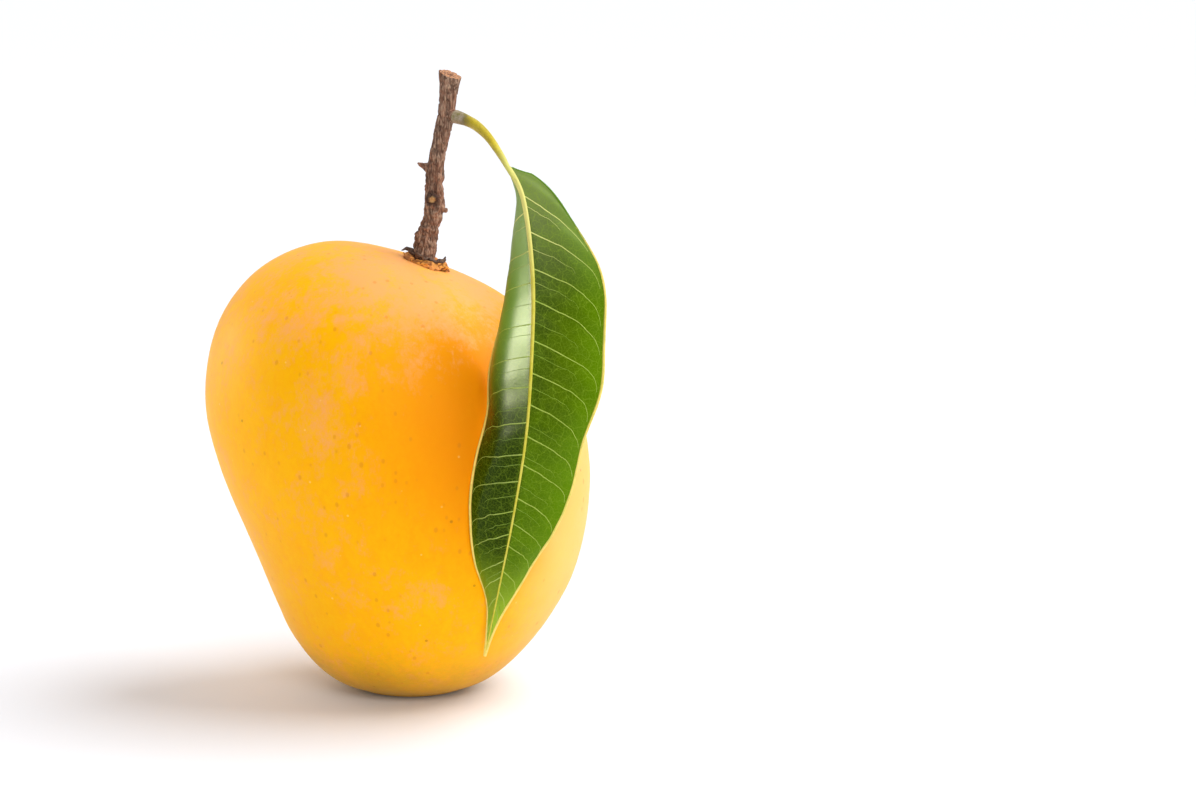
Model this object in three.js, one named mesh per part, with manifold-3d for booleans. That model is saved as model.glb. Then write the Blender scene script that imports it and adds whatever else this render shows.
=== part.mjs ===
// A ripe mango as picked, standing on its nose, with its woody stalk and one hanging leaf.
// Millimetres, +Z up. The origin is the middle of the flat spot that the fruit stands on.
// Seen from the front, along +Y, +X is to the right and the leaf hangs on the right.
import * as THREE from "three";
import { mergeVertices } from "three/addons/utils/BufferGeometryUtils.js";
import Module from "manifold-3d";

const wasm = await Module();
wasm.setup();

// Driving dimensions

const CLEARANCE = 0.4; // between pieces that meet face to face
const MERGE = 1e-3; // vertices closer than this are one

// The fruit's rings from the flat spot up to the stalk. Each is an ellipse between a point of the
// left outline and a point of the right one, both given as [x, z], with its half depth in Y.
const FRUIT_RINGS = [
  { left: [-9.5, 0], right: [10.5, 0], depth: 8.5 },
  { left: [-18, 3.8], right: [19, 3.8], depth: 16.5 },
  { left: [-25.4, 12.5], right: [28.5, 13], depth: 25 },
  { left: [-34.5, 34], right: [36.8, 27], depth: 32 },
  { left: [-41.6, 52], right: [40.3, 45], depth: 35.5 },
  { left: [-44.4, 66.5], right: [39.7, 56.5], depth: 36 },
  { left: [-41.2, 83.2], right: [37, 67.5], depth: 34 },
  { left: [-32.3, 94.6], right: [32, 77.5], depth: 28.5 },
  { left: [-18.5, 100.4], right: [24.5, 86], depth: 18.5 },
  { left: [-3.5, 98.4], right: [14, 92.2], depth: 7 },
  { left: [2.2, 96.4], right: [6.2, 95], depth: 1.9 },
];
const FRUIT_SIDES = 50;
const FRUIT_STEPS = 38;
const BEAK = { at: [-27.4, 0, 13.5], height: 1.3, spread: 2.8 }; // the style's scar, near the nose

// The ground that the stalk stands on: the fruit's top is a plane that falls to the right.
const STALK_FOOT = { x: 4.2, z: 95.75, fall: 0.345 };

const STALK_AXIS = [
  [4.2, 0, 96.2],
  [4.5, 0, 101.5],
  [6.3, 0.2, 107],
  [6.3, 0, 112],
  [7, -0.3, 118.8],
  [9.1, 0, 128.8],
  [10.1, 0.4, 137.3],
];
const STALK_RADII = [2.4, 2.55, 2.05, 2.25, 2.1, 1.9, 1.8, 1.9, 1.9, 2, 2.55]; // at even steps from the foot
const STALK_FLUTES = { count: 5, depth: 0.05, twist: 2.5 };
const STALK_CUT = { fall: 0.2, lean: 0.22 }; // the cut end falls to the right and to the front
const STALK_SIDES = 20;
const STALK_STEPS = 36;
const END_SHARE = 0.08; // the share of the stalk over which its slanted ends straighten out

// What stands out of the stalk: each a short tapered peg from a point inside the wood.
const STALK_PEGS = [
  { from: [6.6, 0, 116.2], to: [2.8, -0.4, 117.9], radii: [1.8, 0.25] }, // a dry bract
  { from: [6.3, -0.6, 110.5], to: [6.1, -2.8, 110.3], radii: [1.8, 1.3] }, // the scar of a fallen twig
  { from: [6.9, 0.2, 107.7], to: [9.3, -0.2, 107.7], radii: [1, 0.6] }, // a bud
  { from: [6.3, 0.6, 113.4], to: [6.5, 2.7, 114], radii: [1.5, 1] }, // a scar on the far side
  { from: [4.6, 0.4, 100.4], to: [1.8, 0.2, 100.6], radii: [2, 1.3] }, // a swelling over the foot
  { from: [9.2, 0, 128.8], to: [12.1, -2.3, 128], radii: [1.7, 1.35] }, // the seat of the leaf stalk
];
const PEG_SIDES = 12;
const PEG_STEPS = 2;

const COLLAR = { inner: 3.1, outer: 5.1, height: 1.5, lumps: 5, lumpShare: 0.1, rightRise: 0.35 };
const COLLAR_SIDES = 36;
// Dry sepals that curl out of the collar: the turn from +X towards the front, their length and half width.
const SEPALS = [
  { turn: 172, length: 1, halfWidth: 0.9 },
  { turn: 82, length: 1.6, halfWidth: 1 },
  { turn: 20, length: 1.8, halfWidth: 1.1 },
  { turn: -70, length: 2, halfWidth: 1 },
  { turn: -135, length: 1.7, halfWidth: 0.8 },
];
const SEPAL_THICKNESS = 0.7;
const SEPAL_CURL = 0.2; // rise of the tip, as a share of the length

const LEAF_STALK_AXIS = [
  [12.6, -2.75, 127.9],
  [13.9, -4.4, 127.6],
  [16, -9.5, 127.1],
  [18.7, -17.5, 125.7],
  [21.5, -25.5, 122.9],
  [22.7, -29.4, 121.3],
];
const LEAF_STALK_RADII = [1.25, 1.15, 0.95, 0.75, 0.6];
const LEAF_STALK_SIDES = 14;
const LEAF_STALK_STEPS = 20;

const LEAF_MIDRIB = [
  [23.3, -30.4, 120.9],
  [26.6, -34.8, 114.3],
  [28.5, -39.1, 98.6],
  [28.2, -42.1, 81.7],
  [26.9, -42.4, 65.1],
  [24, -38.8, 47],
  [20.8, -31.8, 30.3],
  [17.5, -24, 13.8],
];
// Along even shares of the midrib: half width, and how far each half drops back from facing the front.
const LEAF_HALF_WIDTHS = [2.2, 8.8, 14.5, 16, 16.2, 13, 12.3, 9.2, 5.9, 1.7, 0.4];
const LEAF_BASE_SHARE = 0.035; // the share over which the blade widens from its point at the leaf stalk
const LEFT_DROP = [100, 75, 73, 64, 58, 52, 42, 29, 24, 52, 40];
const RIGHT_DROP = [16, 18, 20, 20, 18, 16, 14, 14];
// Each half: degrees that it bends on to its edge, and the height and phase of its waved edge.
const LEFT_HALF = { dropAt: valuesAt(LEFT_DROP), arch: 45, wave: 0.25, phase: 2.3 };
const RIGHT_HALF = { dropAt: valuesAt(RIGHT_DROP), arch: 16, wave: 0.7, phase: 1 };
const LEAF_WAVE_COUNT = 4.5;
const LEAF_THICKNESS = 0.7;
const MIDRIB_RELIEF = { above: 0.2, below: 0.8, halfWidth: 0.9 };
const LEAF_STEPS = 46;
const LEAF_ACROSS = [-1, -0.8, -0.6, -0.4, -0.22, -0.1, 0, 0.1, 0.22, 0.4, 0.6, 0.8, 1];

const SKIN = new THREE.MeshStandardMaterial({ color: 0xf5a31a, roughness: 0.5, metalness: 0 });
const BARK = new THREE.MeshStandardMaterial({ color: 0x6e5346, roughness: 0.9, metalness: 0 });
const CORK = new THREE.MeshStandardMaterial({ color: 0xb9794a, roughness: 0.9, metalness: 0 });
const GREEN_STALK = new THREE.MeshStandardMaterial({ color: 0xc4b52a, roughness: 0.5, metalness: 0 });
const LEAF_GREEN = new THREE.MeshStandardMaterial({ color: 0x3d6a1c, roughness: 0.35, metalness: 0 });

// Curves and values along them

const vector = (p) => new THREE.Vector3(p[0], p[1], p[2]);
const curveThrough = (points) => new THREE.CatmullRomCurve3(points.map(vector));

// A smooth run of values at even shares from 0 to 1.
function valuesAt(values) {
  const run = new THREE.SplineCurve(values.map((v, i) => new THREE.Vector2(i, v)));
  return (share) => run.getPoint(share).y;
}

// The directions to the right and to the front, square to a direction that runs up.
function ringFrame(up) {
  const right = new THREE.Vector3(1, 0, 0).addScaledVector(up, -up.x).normalize();
  return { right, front: new THREE.Vector3().crossVectors(right, up) };
}

// Geometry

function merged(geometry) {
  geometry.deleteAttribute("normal");
  geometry.deleteAttribute("uv");
  return mergeVertices(geometry, MERGE);
}

// A closed cylinder with every vertex put where a rule says. The rule takes the turn round the ring from
// the right towards the front, the share of the way up, and the share of the way out from the ring's middle.
function shapedCylinder(sides, steps, place) {
  const geometry = new THREE.CylinderGeometry(1, 1, 1, sides, steps);
  const position = geometry.getAttribute("position");
  for (let i = 0; i < position.count; i += 1) {
    const [x, up, z] = [position.getX(i), position.getY(i), position.getZ(i)];
    const point = place(Math.atan2(z, x), up + 0.5, Math.hypot(x, z));
    position.setXYZ(i, point.x, point.y, point.z);
  }
  return merged(geometry);
}

// A round bar along a curve, whose radius may change along it and round it.
function barPlace(curve, radiusAt) {
  return (turn, share, out) => {
    const { right, front } = ringFrame(curve.getTangentAt(share));
    const reach = out * radiusAt(share, turn);
    return curve
      .getPointAt(share)
      .addScaledVector(right, reach * Math.cos(turn))
      .addScaledVector(front, reach * Math.sin(turn));
  };
}

function solidOf(geometry) {
  const vertProperties = geometry.getAttribute("position").array;
  const triVerts = new Uint32Array(geometry.index.array);
  return new wasm.Manifold(new wasm.Mesh({ numProp: 3, vertProperties, triVerts }));
}

// Closed geometries joined into one.
function fused(geometries) {
  const joined = geometries.map(solidOf).reduce((all, one) => all.add(one));
  const { vertProperties, triVerts } = joined.getMesh();
  return new THREE.BufferGeometry()
    .setAttribute("position", new THREE.BufferAttribute(vertProperties, 3))
    .setIndex(new THREE.BufferAttribute(triVerts, 1));
}

// The fruit

function fruitGeometry() {
  const left = curveThrough(FRUIT_RINGS.map((r) => [r.left[0], 0, r.left[1]]));
  const right = curveThrough(FRUIT_RINGS.map((r) => [r.right[0], 0, r.right[1]]));
  const depthAt = valuesAt(FRUIT_RINGS.map((r) => r.depth));
  const beak = vector(BEAK.at);
  return shapedCylinder(FRUIT_SIDES, FRUIT_STEPS, (turn, share, out) => {
    const leftEnd = left.getPoint(share);
    const rightEnd = right.getPoint(share);
    const middle = leftEnd.clone().add(rightEnd).multiplyScalar(0.5);
    const outward = rightEnd.sub(middle).multiplyScalar(Math.cos(turn));
    outward.y = -depthAt(share) * Math.sin(turn);
    const point = middle.addScaledVector(outward, out);
    const beakRise = BEAK.height * Math.exp(-((point.distanceTo(beak) / BEAK.spread) ** 2));
    return point.addScaledVector(outward.normalize(), beakRise);
  });
}

// The height of the fruit's top beside the stalk.
const fruitTop = (x) => STALK_FOOT.z - STALK_FOOT.fall * (x - STALK_FOOT.x);

// The woody stalk

function stalkBarGeometry() {
  const axis = curveThrough(STALK_AXIS);
  const radius = valuesAt(STALK_RADII);
  const flute = (share, turn) =>
    1 + STALK_FLUTES.depth * Math.cos(STALK_FLUTES.count * turn + STALK_FLUTES.twist * share);
  const place = barPlace(axis, (share, turn) => radius(share) * flute(share, turn));
  const cutMiddle = axis.getPointAt(1);
  return shapedCylinder(STALK_SIDES, STALK_STEPS, (turn, share, out) => {
    const point = place(turn, share, out);
    const nearFoot = Math.max(0, 1 - share / END_SHARE);
    const nearCut = Math.max(0, 1 - (1 - share) / END_SHARE);
    const footHeight = fruitTop(point.x) + CLEARANCE;
    point.z = THREE.MathUtils.lerp(point.z, footHeight, nearFoot);
    point.z -= nearCut * (STALK_CUT.fall * (point.x - cutMiddle.x) - STALK_CUT.lean * (point.y - cutMiddle.y));
    return point;
  });
}

function pegGeometry({ from, to, radii }) {
  const axis = new THREE.LineCurve3(vector(from), vector(to));
  return shapedCylinder(
    PEG_SIDES,
    PEG_STEPS,
    barPlace(axis, (share) => THREE.MathUtils.lerp(radii[0], radii[1], share)),
  );
}

// The corky collar with its dry sepals

function collarRingGeometry() {
  const { inner, outer, height } = COLLAR;
  const middle = (inner + outer) / 2;
  const section = new THREE.SplineCurve(
    [
      [inner, 0],
      [inner, height * 0.7],
      [middle, height],
      [outer - 0.3, height * 0.6],
      [outer, 0],
    ].map(([r, h]) => new THREE.Vector2(r, h)),
  ).getPoints(8);
  const ring = new THREE.LatheGeometry([...section, section[0]].reverse(), COLLAR_SIDES);
  const position = ring.getAttribute("position");
  for (let i = 0; i < position.count; i += 1) {
    const [x, h, z] = [position.getX(i), position.getY(i), position.getZ(i)];
    const turn = Math.atan2(z, x);
    const lump = 1 + COLLAR.lumpShare * Math.cos(COLLAR.lumps * turn);
    const widen = 1 + (lump - 1) * ((Math.hypot(x, z) - inner) / (outer - inner));
    const rise = h * lump * (1 + COLLAR.rightRise * Math.cos(turn));
    const footX = STALK_FOOT.x + x * widen;
    position.setXYZ(i, footX, -z * widen, fruitTop(footX) + CLEARANCE + rise);
  }
  return merged(ring);
}

function sepalGeometry({ turn, length, halfWidth }) {
  const angle = THREE.MathUtils.degToRad(turn);
  const away = new THREE.Vector3(Math.cos(angle), -Math.sin(angle), 0);
  const root = away.clone().multiplyScalar(COLLAR.inner + 0.7).add(new THREE.Vector3(STALK_FOOT.x, 0, 0));
  root.z = fruitTop(root.x) + CLEARANCE + COLLAR.height * 0.6;
  const tip = root.clone().addScaledVector(away, length);
  tip.z = fruitTop(tip.x) + CLEARANCE + COLLAR.height * 0.6 + SEPAL_CURL * length;
  const bend = root.clone().lerp(tip, 0.5);
  bend.z -= SEPAL_CURL * length * 0.2;
  const axis = new THREE.CatmullRomCurve3([root, bend, tip]);
  const side = new THREE.Vector3(-away.y, away.x, 0);
  return shapedCylinder(8, 4, (turnRound, share, out) => {
    const tangent = axis.getTangentAt(share);
    const thick = new THREE.Vector3().crossVectors(side, tangent);
    const width = out * halfWidth * (1 - 0.75 * share * share);
    const thickness = out * SEPAL_THICKNESS * 0.5;
    return axis
      .getPointAt(share)
      .addScaledVector(side, width * Math.cos(turnRound))
      .addScaledVector(thick, thickness * Math.sin(turnRound));
  });
}

// The leaf

const midrib = curveThrough(LEAF_MIDRIB);
const bladeWidth = valuesAt(LEAF_HALF_WIDTHS);
const leafHalfWidth = (share) => bladeWidth(share) * Math.min(1, 0.2 + share / LEAF_BASE_SHARE);

// A point of the leaf: the share of the way to the tip, the share of the way from the midrib to an edge,
// negative on the left, and 1 on the upper face or -1 on the underside.
function leafPoint(share, across, face) {
  const { right, front } = ringFrame(midrib.getTangentAt(share).negate());
  const sideways = Math.sign(across);
  const out = Math.abs(across);
  const halfWidth = leafHalfWidth(share);
  const half = sideways < 0 ? LEFT_HALF : RIGHT_HALF;
  const drop = half.dropAt(share);
  const chordAngle = THREE.MathUtils.degToRad(drop + half.arch * (out / 2 - 0.5));
  const faceAngle = THREE.MathUtils.degToRad(drop + half.arch * (out - 0.5)) * Math.min(1, out * halfWidth);
  const wave = half.wave * out * out * Math.sin(2 * Math.PI * LEAF_WAVE_COUNT * share + half.phase);
  const ribOffset = (out * halfWidth) / MIDRIB_RELIEF.halfWidth;
  const rib = Math.exp(-ribOffset * ribOffset) * Math.min(1, halfWidth / 4);
  const relief = face > 0 ? MIDRIB_RELIEF.above : MIDRIB_RELIEF.below;
  const lift = face * (LEAF_THICKNESS / 2 + relief * rib) + wave * Math.min(1, halfWidth / 8);
  return midrib
    .getPointAt(share)
    .addScaledVector(right, sideways * out * halfWidth * Math.cos(chordAngle))
    .addScaledVector(front, -out * halfWidth * Math.sin(chordAngle))
    .addScaledVector(right, sideways * lift * Math.sin(faceAngle))
    .addScaledVector(front, lift * Math.cos(faceAngle));
}

// A thin closed sheet: two faces split into triangles alike, and a rim between them.
function leafGeometry() {
  const columns = LEAF_ACROSS.length;
  const positions = [];
  for (const face of [1, -1]) {
    for (let step = 0; step <= LEAF_STEPS; step += 1) {
      for (const across of LEAF_ACROSS) {
        positions.push(...leafPoint(step / LEAF_STEPS, across, face).toArray());
      }
    }
  }
  const lower = (LEAF_STEPS + 1) * columns;
  const at = (step, column) => step * columns + column;
  const triangles = [];
  for (let step = 0; step < LEAF_STEPS; step += 1) {
    for (let column = 0; column < columns - 1; column += 1) {
      const [a, b] = [at(step, column), at(step, column + 1)];
      const [c, d] = [at(step + 1, column), at(step + 1, column + 1)];
      triangles.push(a, c, d, a, d, b);
      triangles.push(lower + a, lower + d, lower + c, lower + a, lower + b, lower + d);
    }
  }
  const rim = [];
  for (let step = 0; step <= LEAF_STEPS; step += 1) rim.push(at(step, 0));
  for (let column = 1; column < columns; column += 1) rim.push(at(LEAF_STEPS, column));
  for (let step = LEAF_STEPS - 1; step >= 0; step -= 1) rim.push(at(step, columns - 1));
  for (let column = columns - 2; column > 0; column -= 1) rim.push(at(0, column));
  rim.forEach((a, i) => {
    const b = rim[(i + 1) % rim.length];
    triangles.push(a, lower + b, b, a, lower + a, lower + b);
  });
  return new THREE.BufferGeometry()
    .setAttribute("position", new THREE.Float32BufferAttribute(positions, 3))
    .setIndex(triangles);
}

function leafStalkGeometry() {
  const radius = valuesAt(LEAF_STALK_RADII);
  const axis = curveThrough([...LEAF_STALK_AXIS].reverse());
  return shapedCylinder(LEAF_STALK_SIDES, LEAF_STALK_STEPS, barPlace(axis, (share) => radius(1 - share)));
}

// The assembly

const mango = new THREE.Group();

function addPiece(name, geometry, material) {
  const piece = new THREE.Mesh(geometry, material);
  piece.name = name;
  mango.add(piece);
}

addPiece("fruit", fruitGeometry(), SKIN);
addPiece("stalk", fused([stalkBarGeometry(), ...STALK_PEGS.map(pegGeometry)]), BARK);
addPiece("stalk_collar", fused([collarRingGeometry(), ...SEPALS.map(sepalGeometry)]), CORK);
addPiece("leaf_stalk", leafStalkGeometry(), GREEN_STALK);
addPiece("leaf_blade", leafGeometry(), LEAF_GREEN);

export default mango;
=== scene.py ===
"""A ripe mango standing on its nose, with its woody stalk, corky collar and one hanging leaf."""

import cmath
import math
from bisect import bisect_right

import bmesh
import bpy
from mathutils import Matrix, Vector


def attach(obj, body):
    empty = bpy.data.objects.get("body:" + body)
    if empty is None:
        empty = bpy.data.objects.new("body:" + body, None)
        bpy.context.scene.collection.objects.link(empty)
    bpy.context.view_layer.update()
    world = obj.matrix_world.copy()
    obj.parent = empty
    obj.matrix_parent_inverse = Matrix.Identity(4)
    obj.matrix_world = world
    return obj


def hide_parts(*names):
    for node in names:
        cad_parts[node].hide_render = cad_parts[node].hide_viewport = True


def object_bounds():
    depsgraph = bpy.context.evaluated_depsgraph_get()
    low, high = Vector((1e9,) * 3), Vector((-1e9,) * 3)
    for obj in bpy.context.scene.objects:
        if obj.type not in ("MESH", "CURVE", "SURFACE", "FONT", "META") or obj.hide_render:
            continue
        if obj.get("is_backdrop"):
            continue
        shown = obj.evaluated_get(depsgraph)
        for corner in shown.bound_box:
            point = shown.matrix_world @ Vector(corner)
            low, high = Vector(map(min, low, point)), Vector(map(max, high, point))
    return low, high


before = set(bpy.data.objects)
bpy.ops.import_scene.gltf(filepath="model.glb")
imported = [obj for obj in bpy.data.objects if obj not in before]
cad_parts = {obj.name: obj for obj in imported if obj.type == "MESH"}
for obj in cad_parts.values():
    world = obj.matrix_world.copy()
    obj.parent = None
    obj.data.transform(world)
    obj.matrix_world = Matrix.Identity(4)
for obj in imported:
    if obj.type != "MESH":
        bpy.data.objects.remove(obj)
CAD_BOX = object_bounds()

MM = 0.001
BODY = "root"

# The camera of the photograph
CAMERA_PLACE = (0.042, -0.7853, 0.2181)
CAMERA_DOWN = 11.0
CAMERA_LENS = 109.46
CAMERA_REACH = 20.0
SENSOR_WIDTH = 36.0

# Light: the surroundings' strength in front and behind, a wide sun and three soft panels
ROOM_FRONT = 0.12
ROOM_BEHIND = 0.66
SUN = {"height": 52.0, "behind": 6.0, "softness": 50.0, "power": 2.6}
FRONT_PANEL = {"place_at": (0.25, -1.2, 0.55), "wide": 0.7, "tall": 0.7, "power": 10.0}
LEFT_PANEL = {"place_at": (-0.95, 0.3, 0.25), "wide": 0.6, "tall": 0.4, "power": 4.6}
LEAF_PANEL = {"place_at": (-0.9, -0.42, 0.25), "wide": 0.5, "tall": 0.34, "power": 90.0}
LIGHT_AIM = (0.0, 0.0, 0.06)
FLOOR_SIZE = 8.0
FLOOR_HEIGHT = -0.0002
FLOOR_WHITE_TO = -0.13
FLOOR_DARK_FROM = -0.4

# Colours as they look on screen
COLOURS = {
    "gold": (249, 182, 0),
    "deep_gold": (248, 168, 0),
    # deep orange cheek, partly the skin's own colour and partly painted shade
    "orange_cheek_and_shade": (242, 142, 0),
    # peach bloom, partly real and partly painted highlight
    "peach_bloom_and_highlight": (245, 168, 95),
    # painted rim light, pale yellow on the right flank
    "painted_rim_light": (244, 202, 114),
    # olive nose, partly its own colour and partly painted shade at the bottom
    "olive_nose_and_shade": (182, 140, 34),
    "rust_fleck": (214, 124, 34),
    "dark_pore": (160, 92, 24),
    "pale_pore": (252, 212, 124),
    "leaf_green": (52, 72, 0),
    "leaf_green_light": (72, 96, 0),
    "leaf_margin_green": (90, 128, 0),
    # painted light coming through the upper left half of the leaf
    "leaf_young_green": (116, 156, 46),
    # painted shade on the lower left half of the leaf
    "leaf_old_green": (34, 52, 0),
    # painted grey sheen high on the right half of the leaf
    "leaf_grey_green": (132, 148, 88),
    # painted sheen at the top of the left half of the leaf
    "leaf_pale_green": (160, 186, 118),
    # lighter tip, partly its own colour and partly painted reflection of the floor
    "leaf_tip_green": (166, 194, 56),
    "leaf_net_green": (132, 160, 44),
    "leaf_under_green": (116, 146, 62),
    "leaf_under_light": (132, 160, 74),
    "leaf_under_net": (176, 190, 104),
    "cream_edge": (246, 216, 112),
    "rib_yellow": (196, 186, 56),
    "rib_yellow_light": (214, 202, 88),
    # pale rib colour near the leaf stalk, partly painted sheen
    "rib_pale": (234, 228, 150),
    "vein_green": (144, 168, 62),
    "vein_green_light": (170, 188, 86),
    "fine_vein_green": (96, 128, 30),
    "stalk_mustard": (214, 192, 0),
    "stalk_mustard_dark": (186, 162, 0),
    "stalk_seat": (128, 118, 62),
    "stalk_seat_scar": (176, 160, 142),
    "stalk_pale": (216, 212, 110),
    "stalk_dot": (110, 96, 30),
    "bark_grey": (138, 110, 94),
    "bark_pale": (200, 168, 142),
    "bark_red": (160, 102, 74),
    "bark_crack": (52, 35, 30),
    "scar_wood": (196, 156, 104),
    "cut_wood": (218, 164, 122),
    "cut_wood_dark": (176, 120, 84),
    "pith": (120, 78, 54),
    "cork_tan": (216, 150, 92),
    "cork_orange": (196, 112, 54),
    "cork_gold": (226, 158, 66),
    "cork_crack": (110, 62, 36),
    "dry_brown": (62, 42, 34),
    "dry_grey": (116, 94, 80),
    "paper": (241, 243, 248),
    "paper_in_front": (90, 90, 90),
}

# Fruit skin, with its orange cheek, partly painted shade, and its paler places, partly painted highlight,
# in mm
SKIN = {"levels": 2, "unevenness": 0.25 * MM, "unevenness_size": 14 * MM, "flat_margin": 1.5 * MM}
CHEEK_PLACE = (24, -26, 66)
CHEEK_RADIUS = 44
PALE_PLACE = (-16, -50, 69)
PALE_RADIUS = 23
TOP_PALE_PLACE = (10, -16, 94)
TOP_PALE_RADIUS = 34

# Bloom on the skin, partly real and partly painted highlight on the shoulders, top, left edge and pale
# place: how much each place and the broken pattern count
BLOOM_AND_HIGHLIGHT = {"shoulders": 0.21, "top": 0.5, "left": 0.04, "pale": 0.68, "cheek": -0.4, "broken": 0.9}

# Stalk and collar: cells, lumps and cracks in metres, grain in waves per metre
BARK = {
    "voxel": 0.13 * MM,
    "rounding": 2,
    "lump_size": 2.6 * MM,
    "lump_height": 2.6 * MM,
    "lumpy_to": 111 * MM,
    "smooth_from": 119 * MM,
    "grain": (1000.0, 1000.0, 240.0),
    "crack_depth": 0.2 * MM,
    "front_scar": (0.0061, -0.0028, 0.1103),
    "back_scar": (0.0065, 0.0027, 0.114),
    "scar_radius": 1.5 * MM,
    "cut_height": 136.2 * MM,
}
NOWHERE = (0.0, 0.0, -1.0)
CORK = {
    "voxel": 0.13 * MM,
    "rounding": 2,
    "lump_size": 1.5 * MM,
    "lump_height": 0.5 * MM,
    "smooth_from": 1.0,
    "grain": (480.0, 480.0, 480.0),
    "crack_depth": 0.25 * MM,
    "front_scar": NOWHERE,
    "back_scar": NOWHERE,
    "scar_radius": 1.0 * MM,
    "sink": 0.45 * MM,
    "cut_height": 1.0,
}

# Dry sepal scraps round the stalk's foot: the size at each turn, in degrees from the right to the back
SCRAPS = {178: 1.1, 214: 0.7, 246: 0.9, 272: 0.75, 301: 1.0, 338: 0.8, 12: 0.9, 70: 1.0, 125: 0.9}
SCRAP_RING = 3.2  # its radius in mm
SCRAP_POINTS = 14
SCRAP_SIDES = 12
SCRAP = {
    "length": 1.75 * MM,
    "half_width": 0.8 * MM,
    "half_thickness": 0.45 * MM,
    "crumple": 0.6 * MM,
    "crumple_size": 1.1 * MM,
    "seed": 4,
}
FOOT_PLACE = (4.35, 0.0, 97.5)
FOOT_FALL = 0.345  # how steeply the ring falls to the right

# Leaf stalk, in mm from its seat on the stalk to the leaf, each point with its radius
LEAF_STALK = [
    Vector((11.2, -1.6, 128.2, 1.5)),
    Vector((12.6, -2.75, 127.9, 1.36)),
    Vector((13.9, -4.4, 127.6, 1.22)),
    Vector((16, -9.5, 127.1, 1.1)),
    Vector((18.7, -17.5, 125.7, 0.92)),
    Vector((21.5, -25.5, 122.9, 0.74)),
    Vector((23, -30, 121, 0.58)),
    Vector((24.6, -32.4, 118.6, 0.44)),
]
LEAF_STALK_POINTS = 80
LEAF_STALK_SIDES = 20

# Leaf blade, in mm and degrees, at even shares from its base to its tip
LEAF_MIDRIB = [
    Vector((23.3, -30.4, 120.9)),
    Vector((26.6, -34.8, 114.3)),
    Vector((28.5, -39.1, 98.6)),
    Vector((28.2, -42.1, 81.7)),
    Vector((26.9, -42.4, 65.1)),
    Vector((24, -38.8, 47)),
    Vector((20.8, -31.8, 30.3)),
    Vector((17.5, -24, 13.8)),
]
LEAF_HALF_WIDTHS = [2.2, 8.8, 14.5, 16, 16.2, 13, 12.3, 9.2, 5.9, 1.7, 0.12]
LEAF_BASE_SHARE = 0.035  # the share over which the blade widens from its point at the leaf stalk
LEAF_BASE_WIDTH = 0.15  # how much of its width it has there
LEFT_DROP = [100, 75, 73, 64, 58, 52, 42, 29, 24, 52, 40]
RIGHT_DROP = [16, 18, 20, 20, 18, 16, 14, 14]
LEFT_REACH = [0, 0, 0, 0, 1.6, 2.1, 0.6, 1.1, 0.5, 0, 0]  # how much further the left edge turns back
REACH_FROM = 0.6  # the share of the half width where that starts
LEFT_BEND = (45, 0.0, 1.0)  # how far a half bends back, and between which shares of its width
SHEEN_BEND = (56, 0.16, 0.82)
SHEEN_FADES = (0.08, 0.22, 0.4, 0.65)  # the shares where the left half takes up and leaves the sheen's bend
RIGHT_BEND = (16, 0.0, 1.0)
LEAF_WAVE_COUNT = 4.5
LEAF_WAVE_FROM = 8  # the half width from which waves and swelling are full
LEFT_WAVE = (0.08, 2.3)  # height in mm and phase
RIGHT_WAVE = (0.7, 1.0)
LEAF_THICKNESS = 0.5
LEAF_NEAR = 0.004  # how far on both sides of a point the midrib's direction is taken
LEAF_STEPS = 240
LEAF_COLUMNS = 72
PATTERN_SHIFT = (0.0, 2.0, 4.0)  # where the upper face, the underside and the rim lie on the flat pattern

# Veins, in shares of the midrib's length
VEINS = {"pairs": 15, "crowding": 0.2, "bend": 1.7, "wander": 0.012, "unevenness": 0.007, "sunk_share": 0.3}
VEIN_FIRST = 0.058
VEIN_LAST = 0.93
LEFT_SWEEP = (0.012, 0.068)  # how far the side veins run on towards the tip, at the base and at the tip
RIGHT_SWEEP = (0.062, 0.045)
VEIN_HOOK = 0.075  # how far they turn along the edge
VEIN_POINTS = 30
VEIN_SIDES = 6
LEFT_QUILT = 0.04  # how far the blade swells between its veins, in mm
RIGHT_QUILT = 0.14

# Ribs along the leaf: name, start and end on its flat pattern, radii in mm at the start and the end
LEAF_LINES = [
    ("midrib", (0.002, 0.5), (0.998, 0.5), 0.44, 0.15),
    ("midrib_under", (2.004, 0.5), (2.99, 0.5), 0.5, 0.2),
    ("edge_left", (0.004, 0.004), (0.9995, 0.004), 0.32, 0.3),
    ("edge_right", (0.004, 0.996), (0.9995, 0.996), 0.22, 0.3),
]
RIB_SUNK = 0.4
RIB_POINTS = 160
RIB_SIDES = 10

# Sets of veins: name, shift on the flat pattern, offset in spacings, reach, radii in mm and seed
LEAF_VEINS = [
    ("side_veins", 0.0, 0.0, 0.92, 0.155, 0.05, 3),
    ("side_veins_under", 2.0, 0.0, 0.92, 0.3, 0.1, 3),
    ("short_veins", 0.0, 0.5, 0.6, 0.08, 0.03, 8),
]


# Colours and values


def paint(name):
    """A named colour for a shader."""

    def linear(level):
        level /= 255
        return level / 12.92 if level <= 0.04045 else ((level + 0.055) / 1.055) ** 2.4

    return (*map(linear, COLOURS[name]), 1.0)


def smooth_run(values):
    """A smooth run through values that stand at even shares from 0 to 1."""
    last = len(values) - 1

    def at(share):
        place = min(max(share, 0.0), 1.0) * last
        i = min(int(place), last - 1)
        t = place - i
        start, end = values[i], values[i + 1]
        leave = (end - values[max(i - 1, 0)]) * 0.5
        arrive = (values[min(i + 2, last)] - start) * 0.5
        square = end * 3 - start * 3 - leave * 2 - arrive
        cube = start * 2 - end * 2 + leave + arrive
        return start + leave * t + square * (t * t) + cube * (t * t * t)

    return at


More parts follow.
